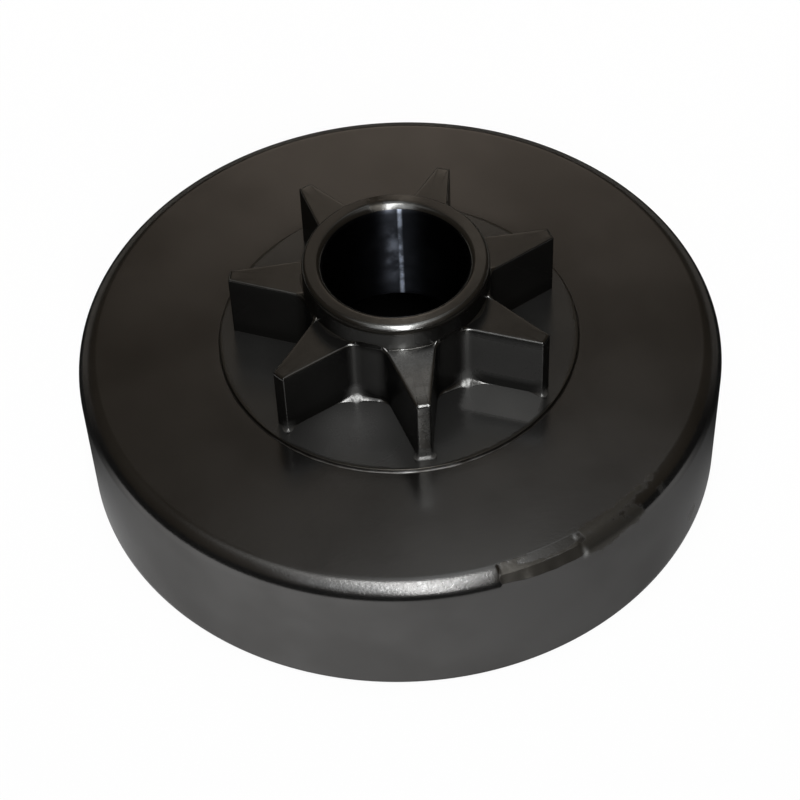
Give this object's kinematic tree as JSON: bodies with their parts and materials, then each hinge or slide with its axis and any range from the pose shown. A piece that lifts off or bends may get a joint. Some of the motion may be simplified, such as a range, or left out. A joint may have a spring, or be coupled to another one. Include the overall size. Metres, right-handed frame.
{
  "type": "chainsaw sprocket",
  "caption": "Black steel chainsaw sprocket: a star of straight teeth with a bored collar, brazed into the face of an open clutch drum.",
  "frame": {"origin": "on the axis, in the plane of the drum's open rim, which the part stands on", "axes": "+Z along the axis from the open rim to the collar; one tooth points along -Y"},
  "size_m": [0.072, 0.072, 0.0279],
  "materials": {
    "drum_steel": "black oxide on drawn steel, satin, with a scuffed stretch on the shoulder",
    "sprocket_steel": "black oxide on machined steel, satin, with edges worn bright and a smooth ground bore"
  },
  "bodies": {
    "root": {"clutch_drum": "drum_steel", "spur_sprocket": "sprocket_steel"}
  },
  "joints": []
}
